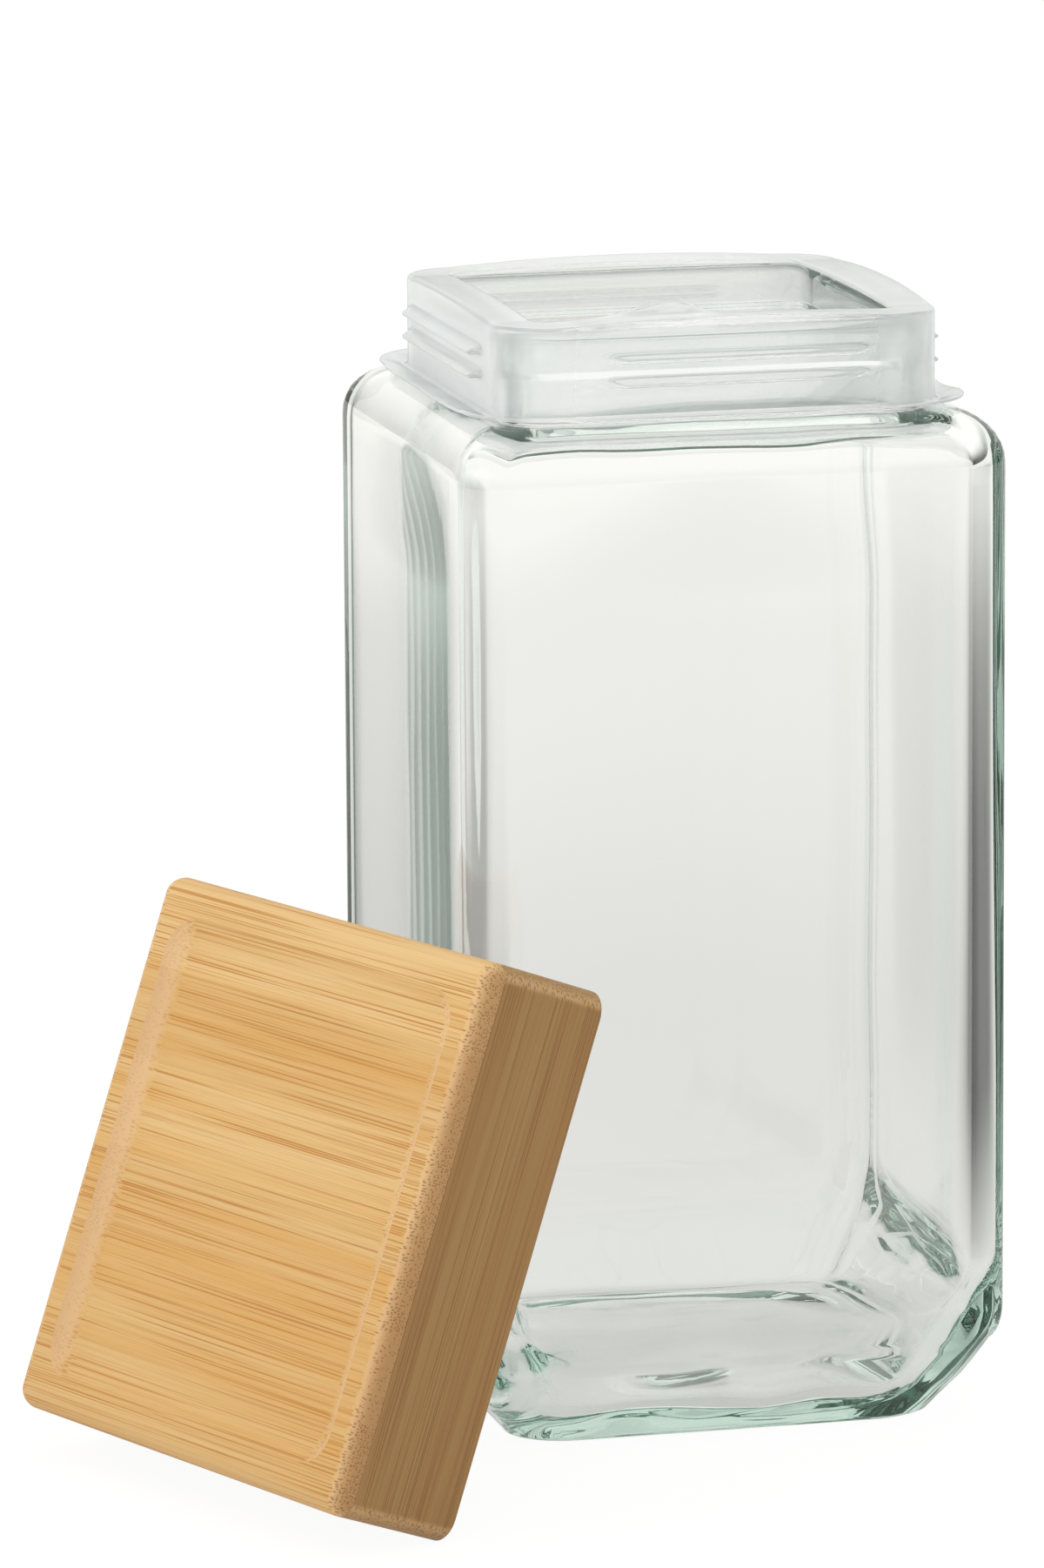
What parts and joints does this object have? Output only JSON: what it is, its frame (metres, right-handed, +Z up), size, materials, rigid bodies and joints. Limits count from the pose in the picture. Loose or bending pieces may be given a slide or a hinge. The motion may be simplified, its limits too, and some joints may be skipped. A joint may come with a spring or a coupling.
{
  "type": "storage jar",
  "caption": "Square glass canister with a sloping foot band, a soft translucent sleeve on its neck and a bamboo lid that leans against it",
  "frame": {"origin": "on the surface it stands on, under the middle of the ground that the jar and the leaning lid cover", "axes": "+Z up, the jar's front wall faces -Y, and the lid leans on its front left upright corner"},
  "size_m": [0.1917, 0.1717, 0.2244],
  "materials": {
    "glass": "clear, faintly green, smooth",
    "sleeve": "milky translucent, soft, satin",
    "bamboo_ply": "satin, straight grain across the lid",
    "bamboo_block": "satin, grain square to the ply's"
  },
  "bodies": {
    "jar": {"glass_jar": "glass"},
    "sleeve": {"seal_sleeve": "sleeve"},
    "lid": {"lid_top_ply": "bamboo_ply", "lid_block": "bamboo_block"}
  },
  "joints": [
    {"name": "sleeve_pull", "type": "slide", "parent": "jar", "child": "sleeve", "axis": [0, 0, 1], "range_m": [0, 0.04]},
    {"name": "lid_lift", "type": "slide", "parent": "jar", "child": "lid", "axis": [0, 0, 1], "range_m": [0, 0.24]}
  ]
}
